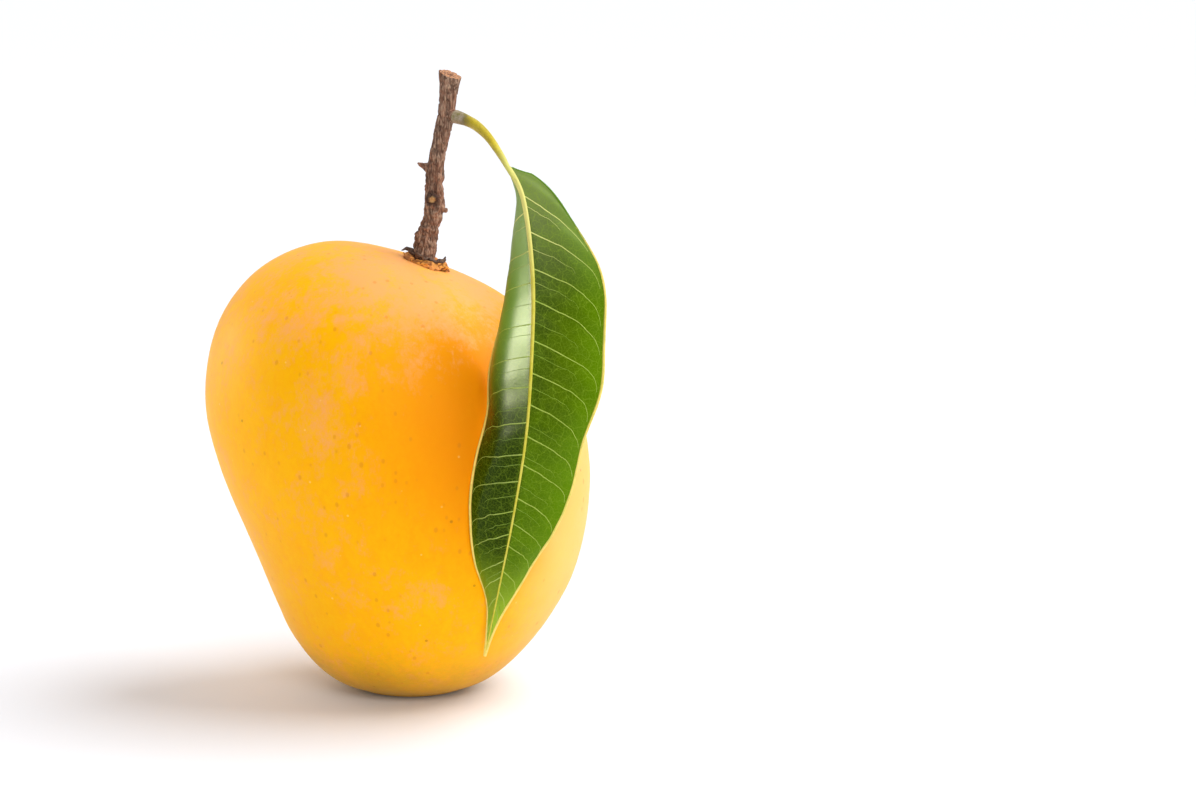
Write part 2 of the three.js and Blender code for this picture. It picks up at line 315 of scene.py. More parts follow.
def even_run(points, steps=400):
    """As smooth_run, for points, with even shares of the length."""
    run = smooth_run(points)
    stops = [run(i / steps) for i in range(steps + 1)]
    lengths = [0.0]
    for before, after in zip(stops, stops[1:]):
        lengths.append(lengths[-1] + (after - before).length)

    def at(share):
        wanted = min(max(share, 0.0), 1.0) * lengths[-1]
        i = min(bisect_right(lengths, wanted) - 1, steps - 1)
        part = (wanted - lengths[i]) / (lengths[i + 1] - lengths[i])
        return run((i + part) / steps)

    return at


# Node trees


def place(tree, kind, inputs=None, **settings):
    """A new node with its settings made and its inputs set or linked."""
    made = tree.nodes.new(kind)
    for name, value in settings.items():
        setattr(made, name, value)
    for key, value in (inputs or {}).items():
        if isinstance(value, bpy.types.NodeSocket):
            tree.links.new(value, made.inputs[key])
        else:
            made.inputs[key].default_value = value
    return made


def fed(kind, inputs, **settings):
    """A new node in the tree of the first socket that feeds it."""
    sockets = (value for value in inputs.values() if isinstance(value, bpy.types.NodeSocket))
    return place(next(sockets).id_data, kind, inputs, **settings)


def maths(operation, *values):
    """The result of one sum on numbers."""
    return fed("ShaderNodeMath", dict(enumerate(values)), operation=operation).outputs[0]


def times(*values):
    """The product of values."""
    product = values[0]
    for value in values[1:]:
        product = maths("MULTIPLY", product, value)
    return product


def minus(value, less):
    """A value less another."""
    return maths("SUBTRACT", value, less)


def over(value):
    """One over a value."""
    return maths("DIVIDE", 1.0, value)


def vectors(operation, *values):
    """The result of one sum on vectors."""
    return fed("ShaderNodeVectorMath", dict(enumerate(values)), operation=operation).outputs[0]


def scaled(vector, factor):
    """A vector times a number."""
    return fed("ShaderNodeVectorMath", {0: vector, "Scale": factor}, operation="SCALE").outputs[0]


def gap(start, end):
    """How far two points are apart."""
    return fed("ShaderNodeVectorMath", {0: start, 1: end}, operation="DISTANCE").outputs["Value"]


def fade(value, low, high, start=0.0, end=1.0):
    """A smooth change from start to end while the value goes from low to high."""
    inputs = {0: value, 1: low, 2: high, 3: start, 4: end}
    return fed("ShaderNodeMapRange", inputs, interpolation_type="SMOOTHSTEP").outputs[0]


def straight(value, start, end):
    """A straight change from start to end while the value goes from 0 to 1."""
    return fed("ShaderNodeMapRange", {0: value, 3: start, 4: end}).outputs[0]


def coated(base, *coats):
    """A named colour under coats of others, each with its mask, its name and how much of it counts."""
    colour = paint(base)
    for mask, name, *amount in coats:
        inputs = {0: times(mask, *amount), 6: colour, 7: paint(name)}
        colour = fed("ShaderNodeMix", inputs, data_type="RGBA").outputs[2]
    return colour


def summed(*terms):
    """The sum of values, each given with its weight."""
    total = 0.0
    for value, weight in terms:
        total = maths("MULTIPLY_ADD", value, weight, total)
    return total


def cloud(vector, scale, detail=3.0, roughness=0.55, distortion=0.0):
    """Soft noise from 0 to 1."""
    inputs = {"Vector": vector, "Scale": scale, "Detail": detail, "Roughness": roughness}
    inputs["Distortion"] = distortion
    return fed("ShaderNodeTexNoise", inputs).outputs[0]


def parts(vector):
    """The x, y and z of a vector."""
    return fed("ShaderNodeSeparateXYZ", {0: vector}).outputs


def joined(x, y, z=0.0):
    """A vector from x, y and z."""
    return fed("ShaderNodeCombineXYZ", {0: x, 1: y, 2: z}).outputs[0]


def new_group(name, kind, takes, gives):
    """An empty node group with named sockets, given as name to kind."""
    tree = bpy.data.node_groups.new(name, kind)
    for sockets, in_out in ((takes, "INPUT"), (gives, "OUTPUT")):
        for label, socket in sockets.items():
            tree.interface.new_socket(label, in_out=in_out, socket_type="NodeSocket" + socket)
    return tree, tree.nodes.new("NodeGroupInput").outputs, tree.nodes.new("NodeGroupOutput").inputs


# Shader groups that several finishes share


def make_mottle():
    """Cloudy patches of two sizes, with the finer one breaking up the coarser."""
    takes = {"Vector": "Vector", "Patch size": "Float", "Break up": "Float"}
    tree, source, drain = new_group("mottle", "ShaderNodeTree", takes, {"Patches": "Float"})
    where = scaled(source["Vector"], over(source["Patch size"]))
    coarse = cloud(where, 1.0, 4.0, 0.55, 0.6)
    fine = cloud(where, 5.0, 5.0, 0.6, 0.3)
    mixed = fed("ShaderNodeMix", {0: source["Break up"], 2: coarse, 3: fine}).outputs[0]
    tree.links.new(fade(mixed, 0.36, 0.64), drain["Patches"])
    return tree


def make_specks():
    """Scattered round dots of uneven strength."""
    takes = {"Vector": "Vector", "Spacing": "Float", "Radius": "Float"}
    tree, source, drain = new_group("specks", "ShaderNodeTree", takes, {"Dots": "Float"})
    per_mm = over(source["Spacing"])
    cells = fed("ShaderNodeTexVoronoi", {"Vector": source["Vector"], "Scale": per_mm})
    away = times(cells.outputs["Distance"], source["Spacing"])
    red = fed("ShaderNodeSeparateColor", {0: cells.outputs["Color"]}).outputs[0]
    size = times(source["Radius"], maths("ADD", 0.4, red))
    dot = fade(maths("DIVIDE", away, size), 0.45, 1.0, 1.0, 0.0)
    tree.links.new(times(dot, fade(red, 0.2, 0.9)), drain["Dots"])
    return tree


MOTTLE = make_mottle()
SPECKS = make_specks()


def mottle(vector, size, break_up=0.5):
    """Cloudy patches of a size in mm."""
    inputs = {"Vector": vector, "Patch size": size, "Break up": break_up}
    return fed("ShaderNodeGroup", inputs, node_tree=MOTTLE).outputs[0]


def specks(vector, spacing, radius):
    """Scattered dots, with their spacing and radius in mm."""
    inputs = {"Vector": vector, "Spacing": spacing, "Radius": radius}
    return fed("ShaderNodeGroup", inputs, node_tree=SPECKS).outputs[0]


# Finishes


def new_finish(name, **settings):
    """A material with its shader's even values set. Gives it, its shader and each point's place in mm."""
    finish = bpy.data.materials.new(name)
    finish.use_nodes = True
    tree = finish.node_tree
    shader = next(n for n in tree.nodes if n.type == "BSDF_PRINCIPLED")
    for label, value in settings.items():
        shader.inputs[label.replace("_", " ")].default_value = value
    where = place(tree, "ShaderNodeTexCoord").outputs["Object"]
    return finish, shader, scaled(where, 1 / MM)


def attribute(shader, name, output="Fac"):
    """A named value that the piece carries."""
    return place(shader.id_data, "ShaderNodeAttribute", attribute_name=name).outputs[output]


def set_colour(shader, colour, rough=None):
    """The colour and the roughness of a shader."""
    links = shader.id_data.links
    links.new(colour, shader.inputs["Base Color"])
    if rough is not None:
        links.new(rough, shader.inputs["Roughness"])


def set_bump(shader, height, distance):
    """Fine relief on a shader."""
    inputs = {"Height": height, "Distance": distance}
    shader.id_data.links.new(fed("ShaderNodeBump", inputs).outputs[0], shader.inputs["Normal"])


def ball(where, centre, radius):
    """1 at a centre, fading to 0 at a radius."""
    return fade(gap(where, centre), radius * 0.25, radius, 1.0, 0.0)


def skin_finish():
    """Waxy golden skin under a cloudy peach bloom partly of painted highlight, with deep orange cheeks
    partly of painted shade, a painted rim light on the right flank and an olive nose partly of painted
    shade.
    """
    finish, shader, where = new_finish(
        "mango_skin",
        Subsurface_Weight=0.2,
        Subsurface_Radius=(1.0, 0.45, 0.1),
        Subsurface_Scale=4 * MM,
        Specular_IOR_Level=0.18,
        Specular_Tint=(1.0, 0.7, 0.3, 1.0),
        Sheen_Weight=0.03,
        Sheen_Roughness=0.45,
        Sheen_Tint=(1.0, 0.78, 0.55, 1.0),
    )
    x, _, z = parts(where)
    clouds = mottle(where, 9.0, 0.35)
    runs = mottle(vectors("MULTIPLY", where, (1.0, 1.0, 0.5)), 3.4, 0.4)
    grains = mottle(where, 1.3, 0.5)
    drift = straight(cloud(where, 0.05, 3.0), -10, 10)
    cheek = ball(where, CHEEK_PLACE, CHEEK_RADIUS)
    broken = summed((clouds, 0.42), (runs, 0.36), (grains, 0.22))
    low = summed((z, 1.0), (drift, 0.8), (grains, 3.0))
    flecks, dark, pale = skin_marks(where)
    colour = coated(
        "gold",
        (summed((runs, 0.6), (grains, 0.4)), "deep_gold"),
        # the cheek: partly deeper orange skin, partly painted shade beside the leaf
        (cheek, "orange_cheek_and_shade"),
        # peach bloom, partly real and partly painted highlight on the top, shoulders, left edge and front
        (skin_bloom_and_highlight(where, cheek, broken), "peach_bloom_and_highlight"),
        # painted rim light on the right flank
        (fade(maths("ADD", x, drift), 17, 38), "painted_rim_light", 0.8),
        # olive nose, darker towards the bottom: partly real colour, partly painted shade
        (fade(low, 20, 2), "olive_nose_and_shade", 0.75),
        (flecks, "rust_fleck", 0.38),
        (dark, "dark_pore", 0.5),
        (pale, "pale_pore", 0.4),
    )
    set_colour(shader, colour, straight(clouds, 0.44, 0.54))
    set_bump(shader, summed((cloud(where, 1.6, 3.0), 1.0), (dark, 0.8)), 0.05 * MM)
    return finish


def skin_bloom_and_highlight(where, cheek, broken):
    """How much bloom and painted highlight lie on the skin: most on the shoulders, least on the cheek,
    broken into dabs.
    """
    x, _, z = parts(where)
    # the shoulders, top, left and pale places carry painted highlight as well as bloom
    masks = {
        "shoulders": fade(z, 62, 100),
        "top": ball(where, TOP_PALE_PLACE, TOP_PALE_RADIUS),
        "left": fade(x, -28, -48),
        "pale": ball(where, PALE_PLACE, PALE_RADIUS),
        "cheek": cheek,
        "broken": broken,
    }
    return fade(summed(*((masks[name], weight) for name, weight in BLOOM_AND_HIGHLIGHT.items())), 0.42, 1.2)


def skin_marks(where):
    """Rusty flecks, dark pores and pale pores on the skin."""
    flecks = specks(vectors("MULTIPLY", where, (1.0, 1.0, 0.7)), 2.6, 0.44)
    dark = specks(vectors("ADD", where, (11, 7, 3)), 5.6, 0.35)
    pale = specks(vectors("ADD", where, (31, 17, 5)), 4.0, 0.26)
    return flecks, dark, pale


def net(flat, cell, thin):
    """A net of fine lines."""
    kind = {"feature": "DISTANCE_TO_EDGE", "voronoi_dimensions": "2D"}
    lines = fed("ShaderNodeTexVoronoi", {"Vector": flat, "Scale": 1 / cell}, **kind)
    return fade(lines.outputs["Distance"], thin * 0.4, thin, 1.0, 0.0)


def wavering(where, size):
    """A small uneven shift that bends straight lines."""
    noise = fed("ShaderNodeTexNoise", {"Vector": where, "Scale": 0.7, "Detail": 2.0}).outputs["Color"]
    return scaled(vectors("SUBTRACT", noise, (0.5, 0.5, 0.5)), 2.0 * size)


def leaf_upper_finish():
    """Glossy deep green with a fine paler net and a cream edge towards the tip, painted light and sheen
    high on the left half, painted sheen high on the right, painted shade low on the left and a tip partly
    of painted reflection.
    """
    finish, shader, where = new_finish(
        "leaf_upper", Specular_IOR_Level=0.065, Specular_Tint=(1.0, 1.0, 0.65, 1.0)
    )
    along = attribute(shader, "leaf_along")
    across = attribute(shader, "leaf_across")
    off = maths("ABSOLUTE", across)
    flat = attribute(shader, "leaf_flat", "Vector")
    bent = vectors("ADD", flat, wavering(where, 0.8))
    patches = mottle(where, 9.0, 0.15)
    left = fade(across, 0.0, -0.1)
    right = fade(across, 0.0, 0.1)
    # the span along the leaf where the left half is painted in shade
    shaded_span = times(fade(along, 0.4, 0.5), fade(along, 0.85, 0.7))
    rim = fade(summed((off, 1.0), (left, 0.03)), 0.955, 0.985)
    colour = coated(
        "leaf_green",
        (patches, "leaf_green_light"),
        (fade(off, 0.3, 1.0), "leaf_margin_green", 0.7),
        # painted light on the upper left half
        (times(left, fade(along, 0.46, 0.3)), "leaf_young_green", 0.8),
        # painted grey sheen high on the right half
        (times(right, fade(along, 0.28, 0.03)), "leaf_grey_green", 0.55),
        # painted sheen at the top of the left half
        (times(left, fade(along, 0.26, 0.1)), "leaf_pale_green", 0.6),
        # painted shade on the lower left half
        (times(left, shaded_span), "leaf_old_green", 0.85),
        (times(right, fade(along, 0.4, 0.6)), "leaf_margin_green", 0.5),
        (net(bent, 2.4, 0.045), "leaf_net_green", 0.24),
        (net(bent, 0.7, 0.1), "leaf_net_green", 0.2),
        (times(rim, fade(along, 0.2, 0.4)), "cream_edge"),
        # lighter towards the tip: partly its own colour, partly painted reflection of the floor
        (fade(along, 0.74, 0.97), "leaf_tip_green", 0.8),
        (fade(along, 0.975, 0.99), "cream_edge"),
    )
    matt = summed((patches, 0.03), (fade(along, 0.6, 0.44), 0.23))
    set_colour(shader, colour, maths("ADD", matt, 0.07))
    relief = summed((cloud(where, 2.2, 2.0), 1.0), (net(flat, 0.55, 0.14), -0.2))
    set_bump(shader, relief, 0.014 * MM)
    return finish


def leaf_under_finish():
    """Paler matt green with the net showing more."""
    finish, shader, where = new_finish("leaf_under", Specular_IOR_Level=0.35, Roughness=0.6)
    flat = attribute(shader, "leaf_flat", "Vector")
    patches = mottle(where, 9.0, 0.4)
    lines = (net(flat, 2.0, 0.06), "leaf_under_net", 0.5)
    set_colour(shader, coated("leaf_under_green", (patches, "leaf_under_light"), lines))
    set_bump(shader, net(flat, 2.0, 0.1), 0.06 * MM)
    return finish


def two_tone_finish(name, first, second, size):
    """Soft leaf tissue in two close colours, paler towards the leaf stalk, partly by painted sheen."""
    finish, shader, where = new_finish(name, Specular_IOR_Level=0.04)
    patches = mottle(where, size, 0.5)
    # paler towards the stalk: partly the tissue's own colour, partly painted sheen
    base = fade(parts(where)[2], 92, 112)
    colour = coated(first, (patches, second), (base, "rib_pale", 0.6))
    set_colour(shader, colour, straight(patches, 0.38, 0.5))
    return finish


def edge_finish():
    """The leaf's thickened edge: green near the leaf stalk, cream lower down."""
    finish, shader, where = new_finish("leaf_edge", Specular_IOR_Level=0.35, Roughness=0.45)
    patches = mottle(where, 4.0, 0.5)
    green = fade(summed((parts(where)[2], 1.0), (patches, 5.0)), 101, 114)
    colour = coated("cream_edge", (patches, "rib_yellow_light"), (green, "leaf_margin_green"))
    set_colour(shader, colour)
    return finish


def leaf_stalk_finish():
    """Mustard green with fine streaks, grey-brown with a pink scar at the seat and paler at the leaf."""
    finish, shader, where = new_finish("leaf_stalk_green", Specular_IOR_Level=0.35)
    x = parts(where)[0]
    streaks = mottle(vectors("MULTIPLY", where, (1.6, 0.5, 1.6)), 1.6, 0.5)
    reach = summed((x, 1.0), (streaks, 1.2))
    colour = coated(
        "stalk_mustard",
        (streaks, "stalk_mustard_dark"),
        (fade(reach, 15.6, 13.6), "stalk_seat"),
        (times(fade(reach, 14.2, 13.0), mottle(where, 1.2, 0.4)), "stalk_seat_scar"),
        (fade(x, 19.5, 23.5), "stalk_pale"),
        (specks(where, 1.6, 0.16), "stalk_dot", 0.4),
    )
    set_colour(shader, colour, straight(streaks, 0.38, 0.5))
    set_bump(shader, streaks, 0.06 * MM)
    return finish


def bark_finish():
    """Grey-brown bark with rusty patches, dark cracks and pale twig scars in dark rings."""
    finish, shader, where = new_finish("bark", Specular_IOR_Level=0.2, Roughness=0.85)
    fine = cloud(vectors("MULTIPLY", where, (3.0, 3.0, 0.7)), 1.0, 4.0)
    scar = summed((attribute(shader, "scar"), 1.0), (cloud(where, 1.1, 3.0), 0.9))
    colour = coated(
        "bark_grey",
        (fade(fine, 0.42, 0.6), "bark_pale"),
        (mottle(where, 4.6, 0.4), "bark_red", 0.75),
        (mottle(vectors("MULTIPLY", where, (1.0, 1.0, 0.35)), 1.5, 0.4), "bark_crack", 0.5),
        (attribute(shader, "cracks"), "bark_crack", 0.6),
        (fade(scar, 1.9, 1.4), "bark_crack", 0.8),
        (fade(scar, 1.05, 0.75), "scar_wood", 0.9),
    )
    set_colour(shader, colour)
    set_bump(shader, fine, 0.15 * MM)
    return finish


def cut_wood_finish():
    """The pale cut end of the stalk, with its darker pith."""
    finish, shader, where = new_finish("cut_wood", Specular_IOR_Level=0.2, Roughness=0.8)
    x, y, _ = parts(where)
    away = gap(joined(x, y), (10.1, 0.0, 0.0))
    grain = cloud(where, 2.6, 4.0)
    colour = coated("cut_wood", (grain, "cut_wood_dark"), (fade(away, 0.8, 0.3), "pith"))
    set_colour(shader, colour)
    set_bump(shader, grain, 0.15 * MM)
    return finish


def cork_finish():
    """Orange and tan cork with golden patches and dark cracks."""
    finish, shader, where = new_finish("cork", Specular_IOR_Level=0.2, Roughness=0.85)
    colour = coated(
        "cork_tan",
        (mottle(where, 1.8, 0.5), "cork_orange"),
        (mottle(vectors("ADD", where, (9, 4, 6)), 3.6, 0.3), "cork_gold", 0.7),
        (attribute(shader, "cracks"), "cork_crack", 0.8),
    )
    set_colour(shader, colour)
    set_bump(shader, cloud(where, 4.0, 3.0), 0.12 * MM)
    return finish


def dry_finish():
    """Dark dry sepal tissue, greyer in patches."""
    finish, shader, where = new_finish("dry_sepal", Specular_IOR_Level=0.2, Roughness=0.8)
    set_colour(shader, coated("dry_brown", (mottle(where, 1.6, 0.5), "dry_grey")))
    set_bump(shader, cloud(where, 3.0, 4.0), 0.12 * MM)
    return finish


def floor_finish():
    """White paper that darkens in front, outside the picture."""
    finish, shader, where = new_finish("white_paper", Roughness=0.9, Specular_IOR_Level=0.1)
    front = fade(parts(where)[1], FLOOR_WHITE_TO / MM, FLOOR_DARK_FROM / MM)
    set_colour(shader, coated("paper", (front, "paper_in_front")))
    return finish


# Geometry trees


def new_geometry(name, **takes):
    """An empty geometry group. What it takes beside geometry is listed by kind."""
    sockets = {"Geometry": "Geometry"}
    for kind, labels in takes.items():
        sockets |= dict.fromkeys(labels.split(", "), kind)
    return new_group(name, "GeometryNodeTree", sockets, {"Geometry": "Geometry"})


def formed(kind, inputs, **settings):
    """The first output of a new geometry node."""
    return fed("GeometryNode" + kind, inputs, **settings).outputs[0]


def unfed(tree, kind, inputs=None, **settings):
    """As formed, for a node that no socket feeds."""
    return place(tree, "GeometryNode" + kind, inputs, **settings).outputs[0]


def offset_by(geometry, offset):
    """Geometry with every point moved."""
    return formed("SetPosition", {0: geometry, "Offset": offset})


def normal_of(tree):
    """Each point's own normal."""
    return unfed(tree, "InputNormal")


def position_of(tree):
    """Each point's own place."""
    return unfed(tree, "InputPosition")


def stored(geometry, name, value):
    """Geometry that carries a named value."""
    return formed("StoreNamedAttribute", {0: geometry, "Name": name, "Value": value})


def dressed(geometry, finish):
    """Smooth, real geometry with a finish."""
    smooth = formed("SetShadeSmooth", {0: geometry})
    real = formed("RealizeInstances", {0: smooth})
    return formed("SetMaterial", {0: real, "Material": finish})


def skin_tree():
    """A smooth, slightly uneven skin over a coarse solid that stands on a flat spot."""
    tree, source, drain = new_geometry(
        "fruit_skin",
        Int="Levels",
        Float="Unevenness, Unevenness size, Flat margin",
        Material="Finish",
    )
    smooth = formed("SubdivisionSurface", {0: source["Geometry"], 1: source["Levels"]})
    waves = cloud(position_of(tree), over(source["Unevenness size"]), 2.0)
    height = times(minus(waves, 0.5), source["Unevenness"])
    free = fade(parts(position_of(tree))[2], 0.0, source["Flat margin"])
    offset = scaled(normal_of(tree), times(height, free))
    tree.links.new(dressed(offset_by(smooth, offset), source["Finish"]), drain["Geometry"])
    return tree


def rounded(solid, voxel, rounds):
    """A solid made again from small even cells, with its edges rounded."""
    inputs = {0: solid, "Voxel Size": voxel, "Interior Band Width": 0.6 * MM}
    volume = formed("MeshToVolume", inputs, resolution_mode="VOXEL_SIZE")
    inputs = {0: volume, "Voxel Size": voxel, "Threshold": 0.1}
    body = formed("VolumeToMesh", inputs, resolution_mode="VOXEL_SIZE")
    inputs = {0: position_of(solid.id_data), "Iterations": rounds}
    blurred = formed("BlurAttribute", inputs, data_type="FLOAT_VECTOR")
    return formed("SetPosition", {0: body, "Position": blurred})


def above(value, level):
    """Whether a value is above a level."""
    return fed("FunctionNodeCompare", {0: value, 1: level}, operation="GREATER_THAN").outputs[0]


def weathered_tree():
    """A rounded solid with lumps, long cracks and twig scars, and a second finish on its cut end."""
    tree, source, drain = new_geometry(
        "weathered",
        Int="Rounding",
        Float="Voxel, Lump size, Lump height, Lumpy to, Smooth from, Crack depth, Scar radius, Sink, "
        "Cut height",
        Vector="Grain, Front scar, Back scar",
        Material="Finish, Cut finish",
    )
    body = rounded(source["Geometry"], source["Voxel"], source["Rounding"])
    where = position_of(tree)
    lumps = minus(cloud(where, over(source["Lump size"]), 2.0), 0.5)
    grain = cloud(vectors("MULTIPLY", where, source["Grain"]), 1.0, 2.0, 0.6, 0.4)
    cracks = fade(maths("ABSOLUTE", minus(grain, 0.5)), 0.01, 0.075, 1.0, 0.0)
    away = (gap(where, source[name]) for name in ("Front scar", "Back scar"))
    scar = maths("DIVIDE", maths("MINIMUM", *away), source["Scar radius"])
    ring = times(fade(scar, 0.65, 0.95), fade(scar, 1.0, 1.4, 1.0, 0.0))
    dome = fade(scar, 0.2, 0.8, 1.0, 0.0)
    body = stored(stored(body, "cracks", cracks), "scar", scar)
    lumpy = fade(parts(where)[2], source["Lumpy to"], source["Smooth from"], 1.0, 0.2)
    lift = times(lumps, lumpy, source["Lump height"])
    lift = minus(lift, times(cracks, source["Crack depth"]))
    knob = summed((dome, 0.22), (ring, -0.25))
    lift = maths("MULTIPLY_ADD", knob, source["Scar radius"], lift)
    down = joined(0.0, 0.0, times(source["Sink"], -1.0))
    body = offset_by(body, vectors("ADD", scaled(normal_of(tree), lift), down))
    body = dressed(body, source["Finish"])
    at_top = above(parts(position_of(tree))[2], source["Cut height"])
    level = above(parts(normal_of(tree))[2], 0.6)
    on_cut = fed("FunctionNodeBooleanMath", {0: at_top, 1: level}, operation="AND").outputs[0]
    inputs = {0: body, "Selection": on_cut, "Material": source["Cut finish"]}
    tree.links.new(formed("SetMaterial", inputs), drain["Geometry"])
    return tree


def scraps_tree():
    """Curled dry scraps that stand on the points of a ring and lean away from its centre."""
    tree, source, drain = new_geometry(
        "dry_scraps",
        Vector="Centre",
        Float="Length, Half width, Half thickness, Crumple, Crumple size",
        Int="Seed",
        Material="Finish",
    )
    long = source["Length"]
    inputs = {
        "Resolution": SCRAP_POINTS,
        "Start": scaled((-0.35, 0.0, -0.1), long),
        "Middle": scaled((0.75, 0.0, -0.12), long),
        "End": scaled((0.95, 0.0, 0.62), long),
    }
    path = formed("CurveQuadraticBezier", inputs)
    path = formed("SetCurveNormal", {0: path}, mode="Z_UP")
    ring = unfed(tree, "CurvePrimitiveCircle", {"Resolution": SCRAP_SIDES, "Radius": 1.0})
    flat = joined(source["Half width"], source["Half thickness"], 1.0)
    section = formed("Transform", {0: ring, "Scale": flat})
    run = unfed(tree, "SplineParameter")
    taper = fade(run, 0.3, 1.1, 1.0, 0.25)
    inputs = {"Curve": path, "Profile Curve": section, "Scale": taper, "Fill Caps": True}
    scrap = formed("CurveToMesh", inputs)
    outward = vectors("SUBTRACT", position_of(tree), source["Centre"])
    turn = fed("FunctionNodeAlignRotationToVector", {"Vector": outward}, axis="X").outputs[0]
    inputs = {0: (-0.4, -0.25, -0.5), 1: (0.4, 0.35, 0.5), "Seed": source["Seed"]}
    tilt = fed("FunctionNodeRandomValue", inputs, data_type="FLOAT_VECTOR").outputs[0]
    tilt = fed("FunctionNodeEulerToRotation", {0: tilt}).outputs[0]
    turn = fed("FunctionNodeRotateRotation", {0: turn, 1: tilt}, rotation_space="LOCAL").outputs[0]
    size = unfed(tree, "InputNamedAttribute", {"Name": "scrap_size"})
    inputs = {"Points": source["Geometry"], "Instance": scrap, "Rotation": turn, "Scale": size}
    scraps = formed("InstanceOnPoints", inputs)
    scraps = formed("RealizeInstances", {0: scraps})
    scraps = formed("SubdivideMesh", {0: scraps, 1: 1})
    inputs = {"Vector": position_of(tree), "Scale": over(source["Crumple size"])}
    crumple = fed("ShaderNodeTexNoise", inputs).outputs["Color"]
    crumple = scaled(vectors("SUBTRACT", crumple, (0.5, 0.5, 0.5)), source["Crumple"])
    tree.links.new(dressed(offset_by(scraps, crumple), source["Finish"]), drain["Geometry"])
    return tree


def round_bar(curve, radius, sides):
    """A closed round bar along a curve."""
    ring = unfed(curve.id_data, "CurvePrimitiveCircle", {"Resolution": sides, "Radius": 1.0})
    inputs = {"Curve": curve, "Profile Curve": ring, "Scale": radius, "Fill Caps": True}
    return formed("CurveToMesh", inputs)


def bar_tree():
    """A round bar along a drawn curve, as thick as the curve's own radius says."""
    tree, source, drain = new_geometry("leaf_stalk_bar", Int="Points", Material="Finish")
    curve = formed("ResampleCurve", {0: source["Geometry"], "Count": source["Points"]})
    radius = unfed(tree, "InputRadius")
    bar = round_bar(curve, radius, LEAF_STALK_SIDES)
    tree.links.new(dressed(bar, source["Finish"]), drain["Geometry"])
    return tree


def on_leaf(leaf, value, flat):
    """A value of the leaf, such as its place or normal, at a place on its flat pattern."""
    named = {"Name": "leaf_pattern"}
    pattern = unfed(leaf.id_data, "InputNamedAttribute", named, data_type="FLOAT_VECTOR")
    inputs = {"Mesh": leaf, "Value": value, "UV Map": pattern, "Sample UV": flat}
    return formed("SampleUVSurface", inputs, data_type="FLOAT_VECTOR")


def laid_on_leaf(leaf, curve, flat, depth):
    """A curve whose points are put on the leaf at their places on its flat pattern, sunk by a depth."""
    tree = leaf.id_data
    spot = on_leaf(leaf, position_of(tree), flat)
    inward = scaled(on_leaf(leaf, normal_of(tree), flat), times(depth, -1.0))
    inputs = {0: curve, "Position": vectors("ADD", spot, inward)}
    return formed("SetPosition", inputs)


def veins_tree():
    """Side veins in pairs, sweeping from the midrib towards the tip and hooking along the edge."""
    tree, source, drain = new_geometry(
        "side_veins",
        Int="Pairs, Seed",
        Float="First, Last, Crowding, Bend, Hook, Reach, Unevenness, Wander, Root radius, End radius, "
        "Sunk share, Pattern shift",
        Vector="Left sweep, Right sweep",
        Material="Finish",
    )
    line = unfed(tree, "CurvePrimitiveLine")
    line = formed("ResampleCurve", {0: line, "Count": VEIN_POINTS})
    amount = times(source["Pairs"], 2.0)
    copies = fed("GeometryNodeDuplicateElements", {0: line, "Amount": amount}, domain="SPLINE")
    number = copies.outputs["Duplicate Index"]
    side = maths("MODULO", number, 2.0)
    root = vein_roots(source, number, side)
    run = unfed(tree, "SplineParameter")
    out = minus(1.0, maths("POWER", minus(1.0, run), source["Bend"]))
    ends = [parts(source[name])[:2] for name in ("Right sweep", "Left sweep")]
    sweeps = [straight(root, *pair) for pair in ends]
    sweep = times(source["Reach"], straight(side, *sweeps))
    hook = times(source["Hook"], minus(1.0, root), maths("POWER", run, 3.0))
    lane = joined(times(run, 4.0), times(number, 7.3))
    wander = minus(cloud(lane, 1.0, 2.0), 0.5)
    wander = times(wander, source["Wander"], fade(run, 0.0, 0.3))
    along = summed((root, 1.0), (sweep, out), (hook, 1.0), (wander, 1.0))
    along = maths("ADD", maths("MINIMUM", along, 0.985), source["Pattern shift"])
    reach = times(source["Reach"], out)
    across = maths("MULTIPLY_ADD", reach, straight(side, 0.5, -0.5), 0.5)
    radius = straight(run, source["Root radius"], source["End radius"])
    depth = times(radius, source["Sunk share"])
    curve = laid_on_leaf(source["Geometry"], copies.outputs[0], joined(along, across), depth)
    veins = round_bar(curve, radius, VEIN_SIDES)
    tree.links.new(dressed(veins, source["Finish"]), drain["Geometry"])
    return tree


def vein_roots(source, number, side):
    """Where each vein leaves the midrib: evenly crowding towards the tip, each a little out of step."""
    pair = maths("FLOOR", maths("DIVIDE", number, 2.0))
    step = maths("DIVIDE", summed((pair, 1.0), (side, 0.5)), source["Pairs"])
    rest = times(step, minus(1.0, step))
    step = maths("MULTIPLY_ADD", rest, source["Crowding"], step)
    inputs = {2: -1.0, 3: 1.0, "ID": number, "Seed": source["Seed"]}
    jitter = fed("FunctionNodeRandomValue", inputs).outputs[1]
    even = straight(step, source["First"], source["Last"])
    return maths("MULTIPLY_ADD", jitter, source["Unevenness"], even)


def leaf_line_tree():
    """A rib laid on the leaf along a straight line of its flat pattern, with an even taper."""
    tree, source, drain = new_geometry(
        "leaf_rib_line",
        Vector="Start, End",
        Float="Root radius, End radius, Sunk share",
        Int="Points",
        Material="Finish",
    )
    line = formed("CurvePrimitiveLine", {0: source["Start"], 1: source["End"]})
    line = formed("ResampleCurve", {0: line, "Count": source["Points"]})
    run = unfed(tree, "SplineParameter")
    radius = straight(run, source["Root radius"], source["End radius"])
    depth = times(radius, source["Sunk share"])
    curve = laid_on_leaf(source["Geometry"], line, position_of(tree), depth)
    rib = round_bar(curve, radius, RIB_SIDES)
    tree.links.new(dressed(rib, source["Finish"]), drain["Geometry"])
    return tree


# Pieces


